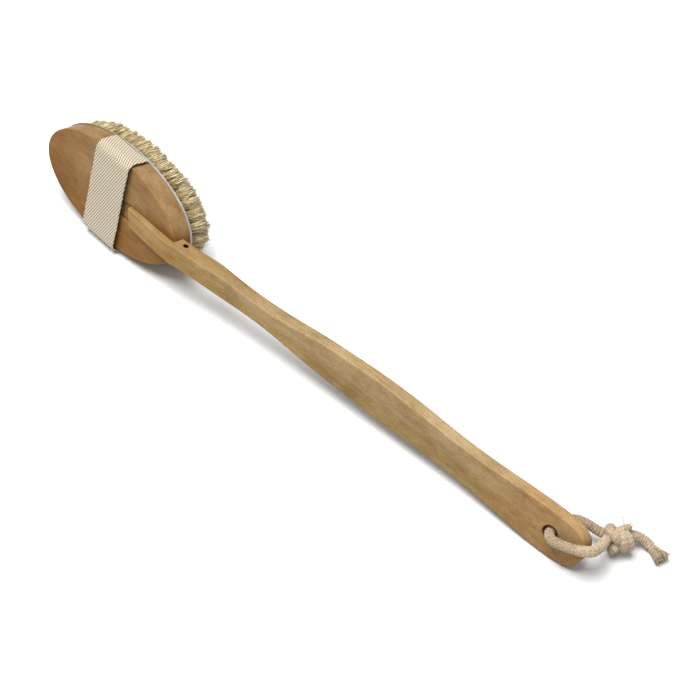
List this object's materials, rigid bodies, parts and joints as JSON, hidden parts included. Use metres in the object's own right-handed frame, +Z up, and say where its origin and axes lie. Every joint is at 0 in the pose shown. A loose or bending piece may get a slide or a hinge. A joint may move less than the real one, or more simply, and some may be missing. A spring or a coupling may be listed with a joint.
{
  "type": "body dry brush",
  "caption": "Dry body brush: oval wooden bristle head with a webbing hand strap, and a long contoured wooden handle that slides out of its dovetail groove, with a knotted hanging cord.",
  "frame": {"origin": "centre of the base of the box round the wooden and bristle parts, on the surface the brush lies on", "axes": "+X along the brush from the head towards the handle's tail, +Z up as the brush lies on its side, +Y the way the bristles point, seen from above"},
  "size_m": [0.4688, 0.0846, 0.0706],
  "materials": {
    "head_wood": "satin",
    "handle_wood": "satin",
    "liner": "matte",
    "bristle": "matte",
    "wire": "satin",
    "webbing": "matte",
    "cotton_cord": "matte"
  },
  "bodies": {
    "brush_head": {"head_back": "head_wood", "liner_sheet": "liner", "bristle_ring_1": "bristle", "bristle_ring_2": "bristle", "bristle_ring_3": "bristle", "bristle_ring_4": "bristle", "bristle_ring_5": "bristle", "tuft_anchors_1": "wire", "tuft_anchors_2": "wire", "tuft_anchors_3": "wire", "tuft_anchors_4": "wire", "tuft_anchors_5": "wire", "hand_strap": "webbing", "strap_staples_upper": "wire", "strap_staples_lower": "wire"},
    "grip": {"handle": "handle_wood", "hanging_cord": "cotton_cord", "cord_knot": "cotton_cord", "cord_tail_long": "cotton_cord", "cord_tail_short": "cotton_cord"}
  },
  "joints": [
    {"name": "handle_slide", "type": "slide", "parent": "brush_head", "child": "grip", "axis": [0.9991, 0, -0.0419], "range_m": [0, 0.08]}
  ]
}
